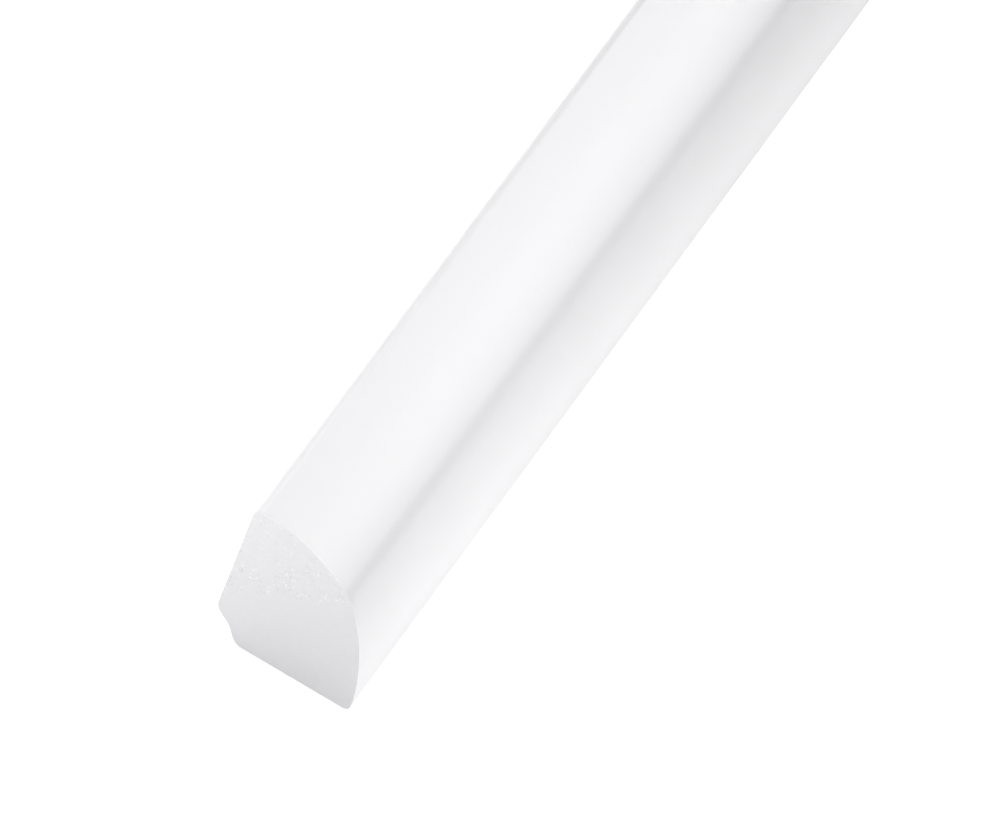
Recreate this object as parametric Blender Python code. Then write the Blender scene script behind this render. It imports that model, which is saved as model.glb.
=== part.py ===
"""A short length of white quarter round moulding, sawn square at both ends.

The profile has two flat legs at a right angle, joined by a curve that swells a little past a true quarter ellipse.
The tip of each leg is softly rounded, and the back corner is taken off by a shallow hollowed relief.
Metres, +Z up. X runs from the wall out over the floor, and Y along the moulding.
The origin is under the middle of the moulding, on the floor.
"""
import math

import bpy

# Driving sizes
LENGTH = 0.120              # sawn length
WALL_LEG = 0.01905          # height of the leg against the wall, to where the sharp edge would be
FLOOR_LEG = 0.0159          # depth of the leg on the floor, to where the sharp edge would be
FLANK_RADIUS = 1.255        # radius of the curve next to each leg, in legs
SHOULDER_RADIUS = 0.35      # radius of the tighter middle of the curve, in legs
WALL_TIP_RADIUS = 0.0011    # rounding of the thin edge on the wall
FLOOR_TIP_RADIUS = 0.0007   # rounding of the thin edge on the floor
RELIEF_HEIGHT = 0.0037      # how far the back relief reaches up the wall
RELIEF_DEPTH = 0.0032       # how far the back relief reaches over the floor
RELIEF_HOLLOW = 0.00023     # how far the relief's face is dished
RELIEF_EASE = 0.0012        # length over which the relief's two ends are eased

# Fineness of the round stretches
CURVE_STEPS = 96
TIP_STEPS = 8
RELIEF_STEPS = 10
EASE_STEPS = 5
TIP_HALVINGS = 50           # of the search for where a tip's rounding leaves the curve

# Finish
WHITE = (0.80, 0.805, 0.81, 1.0)
ROUGHNESS = 0.38


def clear_scene():
    for item in list(bpy.data.objects):
        bpy.data.objects.remove(item, do_unlink=True)


def flank_turn():
    """Angle at which the flank's arc meets the shoulder's, so that both are tangent and the curve is symmetrical."""
    # (flank - shoulder) * (cos a - sin a) = flank - 1 puts the shoulder's centre on the diagonal
    lean = (FLANK_RADIUS - 1.0) / (FLANK_RADIUS - SHOULDER_RADIUS)
    return math.acos(lean / math.sqrt(2.0)) - math.pi / 4.0


def curve_point(turn):
    """Point of the three-centred curve whose normal, before the legs stretch it, turns from the floor by turn."""
    if turn > math.pi / 4.0:
        over, up = unit_point(math.pi / 2.0 - turn)
        over, up = up, over
    else:
        over, up = unit_point(turn)
    return over * FLOOR_LEG, up * WALL_LEG


def unit_point(turn):
    meet = flank_turn()
    flank_centre = 1.0 - FLANK_RADIUS
    if turn <= meet:
        return flank_centre + FLANK_RADIUS * math.cos(turn), FLANK_RADIUS * math.sin(turn)
    step = FLANK_RADIUS - SHOULDER_RADIUS
    over = flank_centre + step * math.cos(meet) + SHOULDER_RADIUS * math.cos(turn)
    up = step * math.sin(meet) + SHOULDER_RADIUS * math.sin(turn)
    return over, up


def curve_normal(turn):
    """Outward direction of the stretched curve."""
    over = math.cos(turn) / FLOOR_LEG
    up = math.sin(turn) / WALL_LEG
    size = math.hypot(over, up)
    return over / size, up / size


def tip_turn(radius, on_floor):
    """Where on the curve a rounding of this radius leaves it to meet the floor, or the wall."""
    low, high = 0.0, math.pi / 4.0
    for _ in range(TIP_HALVINGS):
        middle = (low + high) / 2.0
        turn = middle if on_floor else math.pi / 2.0 - middle
        point = curve_point(turn)
        normal = curve_normal(turn)
        axis = 1 if on_floor else 0
        if point[axis] - radius * normal[axis] < radius:
            low = middle
        else:
            high = middle
    return low if on_floor else math.pi / 2.0 - low


def rounding(radius, turn, start, end):
    """Arc that is tangent to the curve at turn, from one direction to another."""
    point = curve_point(turn)
    normal = curve_normal(turn)
    centre = (point[0] - radius * normal[0], point[1] - radius * normal[1])
    arc = []
    for step in range(TIP_STEPS + 1):
        angle = start + (end - start) * step / TIP_STEPS
        arc.append((centre[0] + radius * math.cos(angle), centre[1] + radius * math.sin(angle)))
    return arc


def front():
    """From the floor's tip, up and over to the wall's tip."""
    floor_turn = tip_turn(FLOOR_TIP_RADIUS, True)
    wall_turn = tip_turn(WALL_TIP_RADIUS, False)
    floor_normal = curve_normal(floor_turn)
    wall_normal = curve_normal(wall_turn)
    floor_angle = math.atan2(floor_normal[1], floor_normal[0])
    wall_angle = math.atan2(wall_normal[1], wall_normal[0])
    points = rounding(FLOOR_TIP_RADIUS, floor_turn, -math.pi / 2.0, floor_angle)
    for step in range(1, CURVE_STEPS):
        points.append(curve_point(floor_turn + (wall_turn - floor_turn) * step / CURVE_STEPS))
    return points + rounding(WALL_TIP_RADIUS, wall_turn, wall_angle, math.pi)


def ease(corner, toward_start, toward_end):
    """Soft turn at a blunt corner: a parabola that touches both of its sides."""
    points = []
    for step in range(EASE_STEPS + 1):
        share = step / EASE_STEPS
        first = (1.0 - share) ** 2
        middle = 2.0 * share * (1.0 - share)
        last = share ** 2
        points.append((
            first * toward_start[0] + middle * corner[0] + last * toward_end[0],
            first * toward_start[1] + middle * corner[1] + last * toward_end[1]))
    return points


def relief():
    """Back relief, from the wall down to the floor: a chamfer with eased ends and a shallow dish between them."""
    slant = math.hypot(RELIEF_HEIGHT, RELIEF_DEPTH)
    along = (RELIEF_DEPTH / slant, -RELIEF_HEIGHT / slant)
    inward = (RELIEF_HEIGHT / slant, RELIEF_DEPTH / slant)
    half_ease = RELIEF_EASE / 2.0
    top = (0.0, RELIEF_HEIGHT)
    bottom = (RELIEF_DEPTH, 0.0)
    top_end = (top[0] + along[0] * half_ease, top[1] + along[1] * half_ease)
    bottom_start = (bottom[0] - along[0] * half_ease, bottom[1] - along[1] * half_ease)
    points = ease(top, (0.0, RELIEF_HEIGHT + half_ease), top_end)
    dish = slant - RELIEF_EASE
    for step in range(1, RELIEF_STEPS):
        share = step / RELIEF_STEPS
        depth = RELIEF_HOLLOW * math.sin(math.pi * share) ** 2
        points.append((
            top_end[0] + along[0] * dish * share + inward[0] * depth,
            top_end[1] + along[1] * dish * share + inward[1] * depth))
    return points + ease(bottom, bottom_start, (RELIEF_DEPTH + half_ease, 0.0))


def white_plastic():
    material = bpy.data.materials.new("white_cellular_pvc")
    material.use_nodes = True
    shader = material.node_tree.nodes["Principled BSDF"]
    shader.inputs["Base Color"].default_value = WHITE
    shader.inputs["Roughness"].default_value = ROUGHNESS
    shader.inputs["Metallic"].default_value = 0.0
    material.diffuse_color = WHITE
    return material


def make_moulding(collection):
    outline = front() + relief()
    curve = bpy.data.curves.new("moulding", "CURVE")
    curve.dimensions = "2D"
    curve.fill_mode = "BOTH"
    curve.extrude = LENGTH / 2.0
    spline = curve.splines.new("POLY")
    spline.points.add(len(outline) - 1)
    for point, (over, up) in zip(spline.points, outline):
        point.co = (over - FLOOR_LEG / 2.0, up, 0.0, 1.0)
    spline.use_cyclic_u = True
    curve.materials.append(white_plastic())
    moulding = bpy.data.objects.new("moulding", curve)
    moulding.rotation_euler = (math.pi / 2.0, 0.0, 0.0)
    collection.objects.link(moulding)
    return moulding


def main():
    clear_scene()
    collection = bpy.data.collections.new("quarter_round_moulding")
    bpy.context.scene.collection.children.link(collection)
    make_moulding(collection)


main()
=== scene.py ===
"""Dresses the quarter round moulding: its satin extruded skin, its sawn ends, and a plain studio round it."""

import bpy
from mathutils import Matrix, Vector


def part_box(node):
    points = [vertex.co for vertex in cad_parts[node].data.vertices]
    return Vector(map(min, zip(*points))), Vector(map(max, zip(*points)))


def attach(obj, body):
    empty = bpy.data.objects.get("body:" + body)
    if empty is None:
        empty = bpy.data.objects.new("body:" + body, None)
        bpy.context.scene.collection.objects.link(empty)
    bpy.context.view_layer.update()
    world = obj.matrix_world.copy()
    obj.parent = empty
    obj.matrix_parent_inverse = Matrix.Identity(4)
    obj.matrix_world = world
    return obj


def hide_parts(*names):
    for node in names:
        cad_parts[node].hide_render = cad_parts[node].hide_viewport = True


bl_info = {
    "name": "Quarter round moulding",
    "version": (1, 0, 0),
    "blender": (4, 5, 0),
    "location": "View3D > Sidebar > Moulding",
    "description": "Builds a sawn length of white quarter round moulding and its studio",
    "category": "Object",
}

import math

import bpy
import numpy as np
from mathutils import Matrix, Vector, noise

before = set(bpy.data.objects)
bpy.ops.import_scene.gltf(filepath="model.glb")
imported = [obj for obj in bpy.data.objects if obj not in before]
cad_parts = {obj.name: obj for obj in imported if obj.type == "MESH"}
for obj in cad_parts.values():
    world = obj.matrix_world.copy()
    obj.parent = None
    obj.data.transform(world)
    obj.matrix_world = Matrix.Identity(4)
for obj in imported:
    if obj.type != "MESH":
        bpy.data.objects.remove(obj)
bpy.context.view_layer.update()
LOW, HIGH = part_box("moulding")
LENGTH = HIGH.y - LOW.y

# Picture that the camera is set for, in pixels
PICTURE_WIDTH = 1000
PICTURE_HEIGHT = 840
BACK_CORNER_PX = (207.55, 628.4)    # where the near end's square back corner would stand
LEG_PX = 165.0                      # the near end's floor leg, seen square on
SENSOR_WIDTH = 36.0                 # of the camera, in millimetres

# Fineness of the mesh
AROUND_STEPS = 248                  # from the floor's tip round to the wall's tip
ACROSS_STEPS = 128                  # from the relief out to the curve
LENGTH_CUTS = 23                    # along the length
ARRIS_STEPS = 2
SMOOTH_BELOW = math.radians(40.0)   # faces that meet at less than this are shaded as one

# How faces and points are told apart
FLAT = 1e-6                         # distance within which a point lies on one of the section's flats
END_FACING = 0.5                    # a face whose normal runs along the length by more than this is an end's
SQUARE_FACING = 0.999               # and by more than this is part of the end's flat

# Where the foam is cut open most: just above a line that slants across the section
OPEN_SLANT = math.radians(33.4)
OPEN_LINE = 0.0049                  # distance of the line from the back corner, square to it
OPEN_BLEND = 0.0016                 # width of the change at the line
OPEN_BAND = 0.0036                  # width of the band in which the open cells crowd
OPEN_ABOVE = 0.55                   # share of the cells that are open beyond that band
OPEN_BELOW = 0.08                   # and below the line
CELL_CLUSTER = 2.2                  # width of a cluster of open cells, in millimetres

# Painted shade on the sawn ends: the foam is painted greyer toward the thin edge on the floor and paler
# toward the one on the wall, square to a slant of its own
PAINTED_SHADE_SLANT = math.radians(41.6)
PAINTED_SHADE_START = -0.0063               # greyest up to here, counted from the back corner
PAINTED_SHADE_END = 0.0134                  # palest from here on
PALEST = 0.92                       # share of the pale colour there
MOTTLE = 0.8                        # width of the mottling over it, in millimetres
MOTTLE_NOISE = (0.3, 0.7)           # noise levels that make the greyest and the palest spots
MOTTLE_SHIFT = (-0.04, 0.08)        # and how far they shift the share of the pale colour

# Cells as the material draws them. Widths are in millimetres, depths in metres
CELL = 0.36
CELL_RAG = 0.25                     # width of the rags in a cell's side
CELL_RAG_REACH = 0.0003             # and how far they reach, in metres
CELL_MOUTH = (0.20, 0.55)           # where a mouth's side starts and ends, in cells from its middle
CLUSTER_NOISE = (0.40, 0.54)        # noise levels between which a cluster sets in
CLUSTER_GAP = 0.2                   # share of the cells that are open between the clusters
TORN_DARK = 0.82                    # tones of a torn cell, darkest and lightest
TORN_LIGHT = 1.09
PIT_DEPTH = 0.000018
SAW_GRAIN = 0.16
SAW_GRAIN_DEPTH = 0.00001

# Cells as the mesh has them
CELL_PROFILE = ((0.12, 1.0), (0.55, 0.0))    # full depth out to the first place, none from the second on
CLUSTER_SWAY = 1.2                  # how strongly the clusters change the depth
CLUSTER_LEVEL = 0.40                # openness that it takes to sink a cell
GRAIN_LEAST = 0.35                  # share of the grain that is left in the densest foam

# Skin. Widths are in millimetres, heights in metres
DIE_LINE = 1.1
DIE_LINE_STRETCH = (1.0, 0.006, 1.0)    # scale of the pattern, drawn out along the length
DIE_LINE_HEIGHT = 0.000004
PEEL = 2.6                          # width of the soft unevenness
PEEL_HEIGHT = 0.000009
PATCH = 9.0                         # width of the greyer patches
PATCH_STRETCH = (1.0, 0.3, 1.0)
PATCH_TONE = 0.985

# Painted light and shade along the thin edge on the wall: a painted highlight, lighter than the skin, near
# the sawn end, turning to painted shade, greyer, toward the far one
EDGE_PAINT_WIDTH = 0.00094
EDGE_PAINT_FADE = 0.000075                 # over which it ends in the skin
EDGE_PAINT_OUTER_WIDTH = 0.000376          # outer part, which has less of the painted tone
EDGE_PAINT_FULL_WIDTH = 0.000658           # from here in the painted tone is full
EDGE_PAINT_OUTER_SHARE = 0.6               # how much of the painted tone the outer part has
EDGE_PAINT_HEIGHT = 0.0011                 # how far the painted tone reaches down
EDGE_PAINT_FULL_HEIGHT = 0.00066           # and down to where it is full
EDGE_PAINT_EVEN = 0.005                    # length at each end over which its tone is even
EDGE_PAINTED_LIGHT = 1.09                    # painted highlight near the sawn end and painted shade far off, as tones against the skin
EDGE_PAINTED_SHADE = 0.84

# Gloss
PVC_IOR = 1.53
SKIN_ROUGHNESS = 0.30
SAWN_ROUGHNESS = 0.72
ACRYLIC_ROUGHNESS = 0.9

# Studio
FLOOR_WIDTH = 8.0
# Name, azimuth and elevation in degrees, distance and width in metres, power in watts
SOFT_BOXES = (
    ("top_box", 250.0, 65.0, 0.25, 0.11, 0.334),
    ("key_box", 240.0, 50.0, 0.35, 0.12, 0.133),
    ("near_box", 320.0, 40.0, 0.20, 0.09, 0.027),
    ("near_low_box", 345.0, 20.0, 0.20, 0.09, 0.050),
    ("front_box", 350.0, 30.0, 1.20, 0.54, 1.87),
    ("side_box", 60.0, 20.0, 0.12, 0.054, 0.030),
    ("back_box", 140.0, 30.0, 1.0, 0.45, 2.50),
    ("back_top_box", 160.0, 45.0, 2.0, 0.90, 5.7),
    ("back_left_box", 185.0, 45.0, 2.0, 0.90, 1.84),
)


def linear(code):
    """Linear colour of an sRGB hex value."""
    shares = [int(code[start:start + 2], 16) / 255.0 for start in (0, 2, 4)]
    return tuple(share / 12.92 if share <= 0.04045 else ((share + 0.055) / 1.055) ** 2.4 for share in shares)


def per_metre(millimetres):
    """Texture scale that repeats a pattern at this real size."""
    return 1000.0 / millimetres


def rgba(colour, tone=1.0):
    """A colour at a lighter or darker tone, as a colour input takes it."""
    return (*[min(1.0, share * tone) for share in colour], 1.0)


def between(low, value, high):
    return min(high, max(low, value))


class MouldingSettings(bpy.types.PropertyGroup):
    arris: bpy.props.FloatProperty(
        name="Arris", description="Rounding left on the edge of a sawn end",
        default=0.00003, min=0.0, max=0.001, subtype="DISTANCE", unit="LENGTH", precision=5)
    cell_size: bpy.props.FloatProperty(
        name="Cell size", description="Width of the larger open cells in the sawn ends",
        default=0.00042, min=0.0001, max=0.003, subtype="DISTANCE", unit="LENGTH", precision=5)
    cell_depth: bpy.props.FloatProperty(
        name="Cell depth", description="Depth of the larger open cells in the sawn ends",
        default=0.00004, min=0.0, max=0.0005, subtype="DISTANCE", unit="LENGTH", precision=5)
    grain_size: bpy.props.FloatProperty(
        name="Grain size", description="Width of the finer grain that the saw leaves",
        default=0.00022, min=0.0001, max=0.003, subtype="DISTANCE", unit="LENGTH", precision=5)
    grain_depth: bpy.props.FloatProperty(
        name="Grain depth", description="Depth of the finer grain that the saw leaves",
        default=0.00002, min=0.0, max=0.0005, subtype="DISTANCE", unit="LENGTH", precision=5)
    skin_colour: bpy.props.FloatVectorProperty(
        name="Skin colour", description="Colour of the extruded skin",
        default=linear("EFEEF0"), size=3, min=0.0, max=1.0, subtype="COLOR")
    sawn_colour: bpy.props.FloatVectorProperty(
        name="Sawn colour", description="Colour of the open foam where the saw has cut it",
        default=linear("F2F1F3"), size=3, min=0.0, max=1.0, subtype="COLOR")
    # Colour of the painted shade on the sawn ends, which greys them toward the thin edge on the floor
    painted_shade_colour: bpy.props.FloatVectorProperty(
        name="Dense colour", description="Colour of the denser foam where the saw has cut it",
        default=linear("E2E1E4"), size=3, min=0.0, max=1.0, subtype="COLOR")


class StudioSettings(bpy.types.PropertyGroup):
    floor_colour: bpy.props.FloatVectorProperty(
        name="Floor colour", description="Colour of the acrylic table top",
        default=linear("F6F6F6"), size=3, min=0.0, max=1.0, subtype="COLOR")
    floor_glow: bpy.props.FloatProperty(
        name="Floor glow", description="Strength of the light that comes up through the table top",
        default=0.53, min=0.0, max=5.0)
    key_light: bpy.props.FloatProperty(
        name="Soft boxes", description="Strength of the soft boxes together",
        default=1.0, min=0.0, max=10.0)
    room_light: bpy.props.FloatProperty(
        name="Room light", description="Strength of the even light from all round",
        default=0.0, min=0.0, max=5.0)
    lens: bpy.props.FloatProperty(
        name="Lens", description="Focal length of the camera in millimetres",
        default=864.0, min=50.0, max=1400.0)
    azimuth: bpy.props.FloatProperty(
        name="Azimuth", description="Turn of the camera to the left of the moulding's length",
        default=math.radians(10.62), subtype="ANGLE")
    elevation: bpy.props.FloatProperty(
        name="Elevation", description="Height of the camera above the floor's plane",
        default=math.radians(48.55), subtype="ANGLE")
    roll: bpy.props.FloatProperty(
        name="Roll", description="Lean of the camera about its own line of sight",
        default=math.radians(22.36), subtype="ANGLE")


def add_node(tree, kind, values=(), links=(), **settings):
    """Adds a node with its options, the values of its free inputs and the sources of its linked ones."""
    made = tree.nodes.new(kind)
    for name, value in settings.items():
        setattr(made, name, value)
    for name, value in dict(values).items():
        made.inputs[name].default_value = value
    for name, source in dict(links).items():
        tree.links.new(source, made.inputs[name])
    return made


def new_material(name):
    """A material and its shader."""
    material = bpy.data.materials.new(name)
    material.use_nodes = True
    return material, material.node_tree.nodes["Principled BSDF"]


def painted_edge_mask(tree, split):
    """How strongly the painted light and shade lie on the thin edge on the wall, as a node output."""
    across = add_node(
        tree, "ShaderNodeMapRange",
        {"From Min": LOW.x + EDGE_PAINT_WIDTH - EDGE_PAINT_FADE, "From Max": LOW.x + EDGE_PAINT_WIDTH,
         "To Min": 1.0, "To Max": 0.0},
        {"Value": split.outputs["X"]})
    outer = add_node(
        tree, "ShaderNodeMapRange",
        {"From Min": LOW.x + EDGE_PAINT_OUTER_WIDTH, "From Max": LOW.x + EDGE_PAINT_FULL_WIDTH,
         "To Min": EDGE_PAINT_OUTER_SHARE, "To Max": 1.0},
        {"Value": split.outputs["X"]})
    height = add_node(
        tree, "ShaderNodeMapRange",
        {"From Min": HIGH.z - EDGE_PAINT_HEIGHT, "From Max": HIGH.z - EDGE_PAINT_FULL_HEIGHT, "To Min": 0.0, "To Max": 1.0},
        {"Value": split.outputs["Z"]})
    strip = add_node(
        tree, "ShaderNodeMath", (), {0: across.outputs["Result"], 1: outer.outputs["Result"]},
        operation="MULTIPLY")
    return add_node(
        tree, "ShaderNodeMath", (), {0: strip.outputs["Value"], 1: height.outputs["Result"]},
        operation="MULTIPLY").outputs["Value"]


def painted_edge_light_and_shade(tree, place, colour, skin):
    """Skin colour with the painted light and shade along the thin edge on the wall laid over it, as a node
    output.
    """
    split = add_node(tree, "ShaderNodeSeparateXYZ", (), {"Vector": place})
    run = add_node(
        tree, "ShaderNodeMapRange",
        {"From Min": LOW.y + EDGE_PAINT_EVEN, "From Max": HIGH.y - EDGE_PAINT_EVEN, "To Min": 0.0, "To Max": 1.0},
        {"Value": split.outputs["Y"]})
    # Painted highlight near the sawn end, turning to painted shade toward the far end
    edge_light_to_shade = add_node(
        tree, "ShaderNodeMix", {"A": rgba(colour, EDGE_PAINTED_LIGHT), "B": rgba(colour, EDGE_PAINTED_SHADE)},
        {"Factor": run.outputs["Result"]}, data_type="RGBA")
    return add_node(
        tree, "ShaderNodeMix", (), {"Factor": painted_edge_mask(tree, split), "A": skin, "B": edge_light_to_shade.outputs["Result"]},
        data_type="RGBA").outputs["Result"]


def extruded_skin(colour):
    """Cellular PVC as it leaves the die: a closed, satin skin with faint lines drawn along it."""
    material, shader = new_material("cellular_pvc_extruded_skin")
    tree = material.node_tree
    place = add_node(tree, "ShaderNodeTexCoord").outputs["Object"]
    # The die draws fine lines along the length, about a millimetre apart and a few microns high
    drawn = add_node(tree, "ShaderNodeMapping", {"Scale": DIE_LINE_STRETCH}, {"Vector": place})
    lines = add_node(
        tree, "ShaderNodeTexNoise", {"Scale": per_metre(DIE_LINE), "Detail": 3.0, "Roughness": 0.55},
        {"Vector": drawn.outputs["Vector"]})
    line_bump = add_node(
        tree, "ShaderNodeBump", {"Strength": 1.0, "Distance": DIE_LINE_HEIGHT},
        {"Height": lines.outputs["Fac"]})
    # The foam under the skin leaves a soft unevenness, which breaks up the gloss a little
    peel = add_node(
        tree, "ShaderNodeTexNoise", {"Scale": per_metre(PEEL), "Detail": 2.0, "Roughness": 0.5},
        {"Vector": place})
    peel_bump = add_node(
        tree, "ShaderNodeBump", {"Strength": 1.0, "Distance": PEEL_HEIGHT},
        {"Height": peel.outputs["Fac"], "Normal": line_bump.outputs["Normal"]})
    # The white is a shade greyer in patches a few centimetres long
    patch_place = add_node(tree, "ShaderNodeMapping", {"Scale": PATCH_STRETCH}, {"Vector": place})
    patches = add_node(
        tree, "ShaderNodeTexNoise", {"Scale": per_metre(PATCH), "Detail": 2.0},
        {"Vector": patch_place.outputs["Vector"]})
    tone = add_node(
        tree, "ShaderNodeMix", {"A": rgba(colour), "B": rgba(colour, PATCH_TONE)},
        {"Factor": patches.outputs["Fac"]}, data_type="RGBA")
    # The thin edge on the wall gets painted light and shade over the skin colour
    tree.links.new(painted_edge_light_and_shade(tree, place, colour, tone.outputs["Result"]), shader.inputs["Base Color"])
    tree.links.new(peel_bump.outputs["Normal"], shader.inputs["Normal"])
    shader.inputs["Roughness"].default_value = SKIN_ROUGHNESS
    shader.inputs["IOR"].default_value = PVC_IOR
    return material


def across_section(tree, place, slant, line):
    """Distance in metres from a slanting line across the section, as a node output."""
    centred = add_node(tree, "ShaderNodeMapping", {"Location": (-LOW.x, 0.0, -LOW.z)}, {"Vector": place})
    beyond = add_node(
        tree, "ShaderNodeVectorMath", {1: (-math.sin(slant), 0.0, math.cos(slant))},
        {0: centred.outputs["Vector"]}, operation="DOT_PRODUCT")
    return add_node(
        tree, "ShaderNodeMath", {1: line}, {0: beyond.outputs["Value"]},
        operation="SUBTRACT").outputs["Value"]


def foam_between_cells(tree, place, colour, painted_shade_colour):
    """Colour of the cut foam without its open cells: painted shade greys it toward the thin edge on the
    floor, with random mottling over it, as a node output.
    """
    # Painted shade: greyer toward the thin edge on the floor, paler toward the one on the wall
    painted_shade_share = add_node(
        tree, "ShaderNodeMapRange",
        {"From Min": PAINTED_SHADE_START, "From Max": PAINTED_SHADE_END, "To Min": 0.0, "To Max": PALEST},
        {"Value": across_section(tree, place, PAINTED_SHADE_SLANT, 0.0)})
    mottle = add_node(
        tree, "ShaderNodeTexNoise", {"Scale": per_metre(MOTTLE), "Detail": 2.0, "Roughness": 0.6},
        {"Vector": place})
    uneven = add_node(
        tree, "ShaderNodeMapRange",
        {"From Min": MOTTLE_NOISE[0], "From Max": MOTTLE_NOISE[1],
         "To Min": MOTTLE_SHIFT[0], "To Max": MOTTLE_SHIFT[1]},
        {"Value": mottle.outputs["Fac"]})
    whiteness = add_node(
        tree, "ShaderNodeMath", (), {0: painted_shade_share.outputs["Result"], 1: uneven.outputs["Result"]},
        operation="ADD", use_clamp=True)
    return add_node(
        tree, "ShaderNodeMix", {"A": rgba(painted_shade_colour), "B": rgba(colour)},
        {"Factor": whiteness.outputs["Value"]}, data_type="RGBA").outputs["Result"]


def ragged_cells(tree, place):
    """Cells with ragged sides. Finer ones wouldn't show, so they are as coarse as the torn spots that do."""
    rag = add_node(
        tree, "ShaderNodeTexNoise", {"Scale": per_metre(CELL_RAG), "Detail": 1.0}, {"Vector": place})
    ragged = add_node(
        tree, "ShaderNodeVectorMath", {1: (CELL_RAG_REACH, CELL_RAG_REACH, CELL_RAG_REACH)},
        {0: rag.outputs["Color"], 2: place}, operation="MULTIPLY_ADD")
    return add_node(
        tree, "ShaderNodeTexVoronoi", {"Scale": per_metre(CELL), "Randomness": 1.0},
        {"Vector": ragged.outputs["Vector"]}, feature="F1")


def opened_share(tree, place):
    """Share of the cells that the saw has cut open at a place, in clusters, as a node output."""
    beyond = across_section(tree, place, OPEN_SLANT, OPEN_LINE)
    above = add_node(
        tree, "ShaderNodeMapRange",
        {"From Min": -0.5 * OPEN_BLEND, "From Max": 0.5 * OPEN_BLEND, "To Min": OPEN_BELOW, "To Max": 1.0},
        {"Value": beyond}, interpolation_type="SMOOTHSTEP")
    thinning = add_node(
        tree, "ShaderNodeMapRange",
        {"From Min": OPEN_BAND - OPEN_BLEND, "From Max": OPEN_BAND + OPEN_BLEND,
         "To Min": 1.0, "To Max": OPEN_ABOVE},
        {"Value": beyond}, interpolation_type="SMOOTHSTEP")
    opened = add_node(
        tree, "ShaderNodeMath", (), {0: above.outputs["Result"], 1: thinning.outputs["Result"]},
        operation="MULTIPLY")
    clusters = add_node(
        tree, "ShaderNodeTexNoise", {"Scale": per_metre(CELL_CLUSTER), "Detail": 2.0},
        {"Vector": place})
    crowd = add_node(
        tree, "ShaderNodeMapRange",
        {"From Min": CLUSTER_NOISE[0], "From Max": CLUSTER_NOISE[1], "To Min": CLUSTER_GAP, "To Max": 1.0},
        {"Value": clusters.outputs["Fac"]}, interpolation_type="SMOOTHSTEP")
    return add_node(
        tree, "ShaderNodeMath", (), {0: crowd.outputs["Result"], 1: opened.outputs["Value"]},
        operation="MULTIPLY").outputs["Value"]


def sawn_foam(colour, painted_shade_colour):
    """Cellular PVC cut by a fine saw: matt, speckled where cells are cut open, with painted shade that greys
    it toward the thin edge on the floor.
    """
    material, shader = new_material("cellular_pvc_sawn")
    tree = material.node_tree
    place = add_node(tree, "ShaderNodeTexCoord").outputs["Object"]
    cells = ragged_cells(tree, place)
    mouths = add_node(
        tree, "ShaderNodeMapRange",
        {"From Min": CELL_MOUTH[0], "From Max": CELL_MOUTH[1], "To Min": 1.0, "To Max": 0.0},
        {"Value": cells.outputs["Distance"]}, interpolation_type="SMOOTHSTEP")
    pits = add_node(
        tree, "ShaderNodeMath", (), {0: mouths.outputs["Result"], 1: opened_share(tree, place)},
        operation="MULTIPLY")
    # Each cell is lighter or darker by how the saw tore it
    chance = add_node(tree, "ShaderNodeSeparateColor", (), {"Color": cells.outputs["Color"]})
    torn = add_node(
        tree, "ShaderNodeMix", {"A": rgba(colour, TORN_DARK), "B": rgba(colour, TORN_LIGHT)},
        {"Factor": chance.outputs["Red"]}, data_type="RGBA")
    tone = add_node(
        tree, "ShaderNodeMix", (),
        {"Factor": pits.outputs["Value"], "A": foam_between_cells(tree, place, colour, painted_shade_colour),
         "B": torn.outputs["Result"]}, data_type="RGBA")
    # A finer grain from the saw lies over the whole face
    grain = add_node(
        tree, "ShaderNodeTexNoise", {"Scale": per_metre(SAW_GRAIN), "Detail": 3.0, "Roughness": 0.7},
        {"Vector": place})
    grain_bump = add_node(
        tree, "ShaderNodeBump", {"Strength": 1.0, "Distance": SAW_GRAIN_DEPTH},
        {"Height": grain.outputs["Fac"]})
    pit_bump = add_node(
        tree, "ShaderNodeBump", {"Strength": 1.0, "Distance": PIT_DEPTH},
        {"Height": pits.outputs["Value"], "Normal": grain_bump.outputs["Normal"]}, invert=True)
    tree.links.new(tone.outputs["Result"], shader.inputs["Base Color"])
    tree.links.new(pit_bump.outputs["Normal"], shader.inputs["Normal"])
    shader.inputs["Roughness"].default_value = SAWN_ROUGHNESS
    shader.inputs["IOR"].default_value = PVC_IOR
    return material


def lit_acrylic(colour, glow):
    """Opal acrylic table top, sanded matt and lit from below, so that it stays white round the moulding."""
    material, shader = new_material("opal_acrylic_sanded")
    shader.inputs["Base Color"].default_value = rgba(colour)
    shader.inputs["Roughness"].default_value = ACRYLIC_ROUGHNESS
    shader.inputs["Emission Color"].default_value = rgba(colour)
    shader.inputs["Emission Strength"].default_value = glow
    return material


def section_chains():
    """The CAD section's curve and its relief, each as points from the floor's side round to the wall's."""
    corners = [corner.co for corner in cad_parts["moulding"].data.vertices]
    end = {(round(place.x, 8), round(place.z, 8)) for place in corners if place.y < LOW.y + FLAT}
    middle_x = sum(point[0] for point in end) / len(end)
    middle_z = sum(point[1] for point in end) / len(end)
    ring = sorted(end, key=lambda point: math.atan2(point[1] - middle_z, point[0] - middle_x))
    on_floor = [point for point in ring if point[1] < LOW.z + FLAT]
    on_wall = [point for point in ring if point[0] < LOW.x + FLAT]
    floor_tip = ring.index(max(on_floor))
    ring = ring[floor_tip:] + ring[:floor_tip]
    wall_tip = ring.index(max(on_wall, key=lambda point: point[1]))
    wall_foot = ring.index(min(on_wall, key=lambda point: point[1]))
    curve = ring[:wall_tip + 1]
    relief = ring[wall_foot:][::-1]
    return np.array(curve), np.array(relief)


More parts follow.
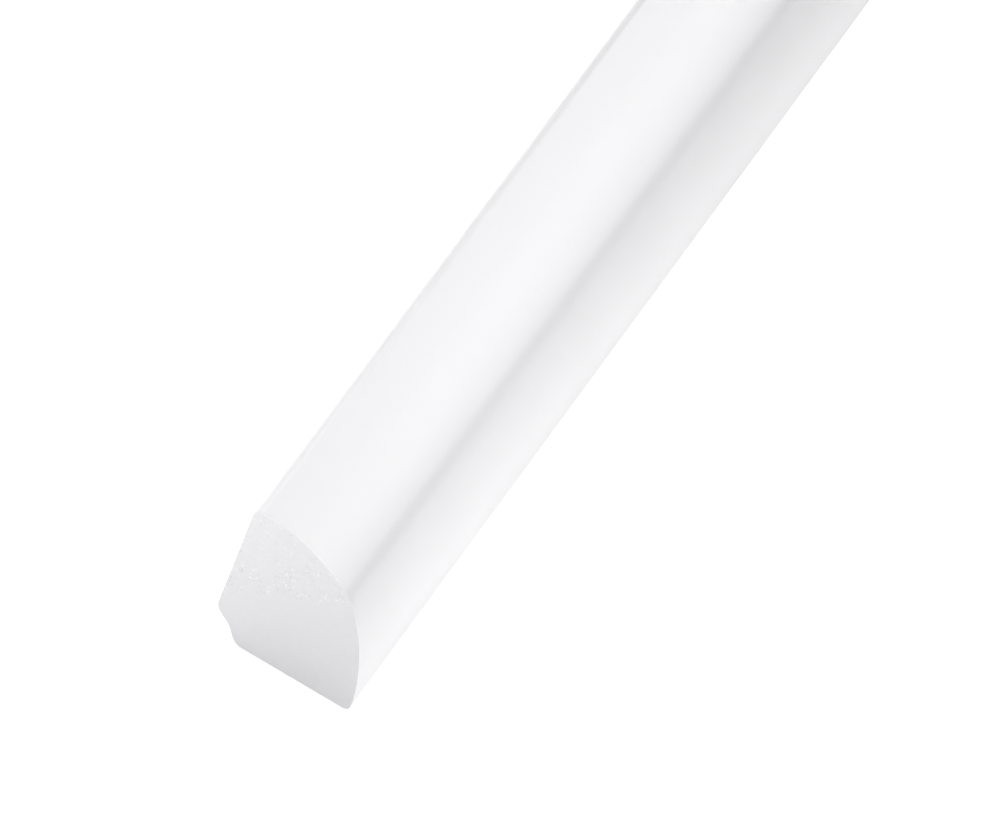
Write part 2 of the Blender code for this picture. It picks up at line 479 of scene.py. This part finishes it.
def along(chain, shares):
    """Points at the given shares of a chain's length."""
    steps = np.hypot(*np.diff(chain, axis=0).T)
    run = np.concatenate([[0.0], np.cumsum(steps)]) / steps.sum()
    return np.column_stack([np.interp(shares, run, chain[:, axis]) for axis in (0, 1)])


def deselect_all():
    bpy.ops.object.select_all(action="DESELECT")


def is_end(face):
    return abs(face.normal.y) > END_FACING


def draw_to_section(grid):
    """Draws a square grid's corners to the section: one side to the relief, the opposite to the curve."""
    curve, relief = section_chains()
    places = np.empty(len(grid.vertices) * 3)
    grid.vertices.foreach_get("co", places)
    places = places.reshape(-1, 3)
    # The grid is one wide about its middle
    around = places[:, 0] + 0.5
    outwards = (places[:, 1] + 0.5)[:, None]
    section = along(relief, around) * (1.0 - outwards) + along(curve, around) * outwards
    places[:, 0] = section[:, 0]
    places[:, 1] = LOW.y
    places[:, 2] = section[:, 1]
    grid.vertices.foreach_set("co", places.ravel())
    grid.update()


def lay_section():
    """Lays a grid over the section at the near end."""
    deselect_all()
    bpy.ops.mesh.primitive_grid_add(x_subdivisions=AROUND_STEPS, y_subdivisions=ACROSS_STEPS, size=1.0)
    piece = bpy.context.object
    piece.name = "sawn_moulding"
    draw_to_section(piece.data)
    return piece


def draw_to_far_end():
    """Extrudes the section over the length, and turns all faces outwards."""
    bpy.ops.object.mode_set(mode="EDIT")
    bpy.ops.mesh.select_all(action="SELECT")
    bpy.ops.mesh.extrude_region_move(TRANSFORM_OT_translate={"value": (0.0, LENGTH, 0.0)})
    bpy.ops.mesh.select_all(action="SELECT")
    bpy.ops.mesh.normals_make_consistent(inside=False)
    bpy.ops.mesh.select_all(action="DESELECT")
    bpy.ops.object.mode_set(mode="OBJECT")


def ease_sawn_edges(piece, arris):
    """Takes the sharpness off the edge round each sawn end."""
    for face in piece.data.polygons:
        face.select = is_end(face)
    bpy.ops.object.mode_set(mode="EDIT")
    bpy.ops.mesh.select_mode(type="EDGE")
    bpy.ops.mesh.region_to_loop()
    bpy.ops.mesh.bevel(offset=arris, segments=ARRIS_STEPS, affect="EDGES")
    bpy.ops.mesh.select_all(action="DESELECT")
    bpy.ops.object.mode_set(mode="OBJECT")


def divide_length(piece):
    """Cuts the long edges, so that no face runs from end to end."""
    corners = piece.data.vertices
    for edge in piece.data.edges:
        first, second = (corners[index].co.y for index in edge.vertices)
        edge.select = abs(first - second) > 0.5 * LENGTH
    bpy.ops.object.mode_set(mode="EDIT")
    bpy.ops.mesh.subdivide(number_cuts=LENGTH_CUTS)
    bpy.ops.mesh.select_all(action="DESELECT")
    bpy.ops.object.mode_set(mode="OBJECT")


def openness(place):
    """How openly the saw has cut the foam at a place: most just above a slanting line, and less beyond."""
    over = place.x - LOW.x
    up = place.z - LOW.z
    beyond = up * math.cos(OPEN_SLANT) - over * math.sin(OPEN_SLANT) - OPEN_LINE
    above = between(0.0, 0.5 + beyond / OPEN_BLEND, 1.0)
    past_band = between(0.0, 0.5 + (beyond - OPEN_BAND) / (2.0 * OPEN_BLEND), 1.0)
    return (OPEN_BELOW + (1.0 - OPEN_BELOW) * above) * (1.0 - (1.0 - OPEN_ABOVE) * past_band)


def weigh_sawn_faces(piece):
    """Groups the flat of each sawn end, its edge left out, for the cut cells and for the finer grain."""
    flat = set()
    rest = set()
    for face in piece.data.polygons:
        side = flat if abs(face.normal.y) > SQUARE_FACING else rest
        side.update(face.vertices)
    cells = piece.vertex_groups.new(name="cut_cells")
    grain = piece.vertex_groups.new(name="cut_grain")
    for index in sorted(flat - rest):
        place = piece.data.vertices[index].co
        clusters = noise.noise(place * per_metre(CELL_CLUSTER))
        crowding = clusters * CLUSTER_SWAY + openness(place) - CLUSTER_LEVEL
        cells.add([index], between(0.0, crowding, 1.0), "REPLACE")
        grain.add([index], GRAIN_LEAST + (1.0 - GRAIN_LEAST) * openness(place), "REPLACE")


def press_in(piece, group, kind, size, depth, profile=()):
    """Sinks the grouped faces by a pattern of the given size, and applies the modifier."""
    pattern = bpy.data.textures.new(group, kind)
    pattern.noise_scale = size
    if profile:
        pattern.use_color_ramp = True
        for element, (place, shade) in zip(pattern.color_ramp.elements, profile):
            element.position = place
            element.color = (shade, shade, shade, 1.0)
    sink = piece.modifiers.new(group, "DISPLACE")
    sink.texture = pattern
    sink.texture_coords = "LOCAL"
    sink.direction = "NORMAL"
    sink.mid_level = 0.0
    sink.strength = -depth
    sink.vertex_group = group
    bpy.ops.object.modifier_apply(modifier=group)


class MOULDING_OT_build(bpy.types.Operator):
    """Build the sawn length of moulding in place of the plain solid"""
    bl_idname = "moulding.build"
    bl_label = "Build moulding"
    bl_options = {"REGISTER", "UNDO"}

    def execute(self, context):
        settings = context.scene.moulding_settings
        piece = lay_section()
        draw_to_far_end()
        ease_sawn_edges(piece, settings.arris)
        divide_length(piece)
        piece.data.materials.append(extruded_skin(settings.skin_colour))
        piece.data.materials.append(sawn_foam(settings.sawn_colour, settings.painted_shade_colour))
        for face in piece.data.polygons:
            face.material_index = 1 if is_end(face) else 0
        weigh_sawn_faces(piece)
        press_in(piece, "cut_cells", "VORONOI", settings.cell_size, settings.cell_depth, CELL_PROFILE)
        press_in(piece, "cut_grain", "CLOUDS", settings.grain_size, settings.grain_depth)
        bpy.ops.object.shade_smooth_by_angle(angle=SMOOTH_BELOW)
        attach(piece, "root")
        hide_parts("moulding")
        return {"FINISHED"}


def place_camera(settings):
    """Long lens, looking down along the moulding and rolled over, as the photograph was taken."""
    data = bpy.data.cameras.new("studio_camera")
    data.lens = settings.lens
    data.sensor_width = SENSOR_WIDTH
    turn, rise, lean = settings.azimuth, settings.elevation, settings.roll
    forward = Vector((-math.sin(turn) * math.cos(rise), math.cos(turn) * math.cos(rise), -math.sin(rise)))
    level = Vector((math.cos(turn), math.sin(turn), 0.0))
    right = level * math.cos(lean) + level.cross(forward) * math.sin(lean)
    up = right.cross(forward)
    focal_px = settings.lens / data.sensor_width * PICTURE_WIDTH
    distance = focal_px / LEG_PX * (HIGH.x - LOW.x)
    corner = Vector((LOW.x, LOW.y, LOW.z))
    over = (BACK_CORNER_PX[0] - PICTURE_WIDTH / 2.0) / focal_px * distance
    down = (BACK_CORNER_PX[1] - PICTURE_HEIGHT / 2.0) / focal_px * distance
    data.clip_start = distance * 0.1
    data.clip_end = distance * 10.0
    camera = bpy.data.objects.new("studio_camera", data)
    bpy.context.scene.collection.objects.link(camera)
    camera.matrix_world = Matrix((
        (right.x, up.x, -forward.x, 0.0),
        (right.y, up.y, -forward.y, 0.0),
        (right.z, up.z, -forward.z, 0.0),
        (0.0, 0.0, 0.0, 1.0)))
    camera.location = corner - forward * distance - right * over + up * down
    bpy.context.scene.camera = camera


def soft_box(name, azimuth, elevation, distance, width, power):
    """Square soft box that faces the moulding. Its azimuth turns from the near end to the floor's side."""
    data = bpy.data.lights.new(name, "AREA")
    data.shape = "SQUARE"
    data.size = width
    data.energy = power
    light = bpy.data.objects.new(name, data)
    bpy.context.scene.collection.objects.link(light)
    turn, rise = math.radians(azimuth), math.radians(elevation)
    away = Vector((math.sin(turn) * math.cos(rise), -math.cos(turn) * math.cos(rise), math.sin(rise)))
    light.location = Vector((0.0, 0.0, HIGH.z / 2.0)) + away * distance
    light.rotation_euler = (-away).to_track_quat("-Z", "Y").to_euler()
    light.visible_camera = False


def light_moulding(strength):
    """Boxes high on the wall side and in front, a low one on the floor side, and three behind for gloss."""
    for name, azimuth, elevation, distance, width, power in SOFT_BOXES:
        soft_box(name, azimuth, elevation, distance, width, power * strength)


def light_room(strength):
    world = bpy.data.worlds.new("studio_room")
    world.use_nodes = True
    background = world.node_tree.nodes["Background"]
    background.inputs["Color"].default_value = (1.0, 1.0, 1.0, 1.0)
    background.inputs["Strength"].default_value = strength
    bpy.context.scene.world = world


class MOULDING_OT_studio(bpy.types.Operator):
    """Set the floor, the lights and the camera"""
    bl_idname = "moulding.studio"
    bl_label = "Set studio"
    bl_options = {"REGISTER", "UNDO"}

    def execute(self, context):
        settings = context.scene.studio_settings
        deselect_all()
        bpy.ops.mesh.primitive_plane_add(size=FLOOR_WIDTH, location=(0.0, 0.0, LOW.z))
        floor = context.object
        floor.name = "studio_floor"
        floor.data.materials.append(lit_acrylic(settings.floor_colour, settings.floor_glow))
        bpy.ops.object.transform_apply(location=True, rotation=False, scale=False)
        light_room(settings.room_light)
        light_moulding(settings.key_light)
        context.scene.view_settings.view_transform = "Standard"
        place_camera(settings)
        return {"FINISHED"}


class MOULDING_PT_panel(bpy.types.Panel):
    bl_label = "Quarter round moulding"
    bl_idname = "MOULDING_PT_panel"
    bl_space_type = "VIEW_3D"
    bl_region_type = "UI"
    bl_category = "Moulding"

    def draw(self, context):
        layout = self.layout
        for settings, operator in (
                (context.scene.moulding_settings, "moulding.build"),
                (context.scene.studio_settings, "moulding.studio")):
            for name in settings.__annotations__:
                layout.prop(settings, name)
            layout.operator(operator)


CLASSES = (MouldingSettings, StudioSettings, MOULDING_OT_build, MOULDING_OT_studio, MOULDING_PT_panel)


def register():
    for item in CLASSES:
        bpy.utils.register_class(item)
    bpy.types.Scene.moulding_settings = bpy.props.PointerProperty(type=MouldingSettings)
    bpy.types.Scene.studio_settings = bpy.props.PointerProperty(type=StudioSettings)


def unregister():
    del bpy.types.Scene.studio_settings
    del bpy.types.Scene.moulding_settings
    for item in reversed(CLASSES):
        bpy.utils.unregister_class(item)


def main():
    register()
    bpy.ops.moulding.build()
    bpy.ops.moulding.studio()


if __name__ == "__main__":
    main()
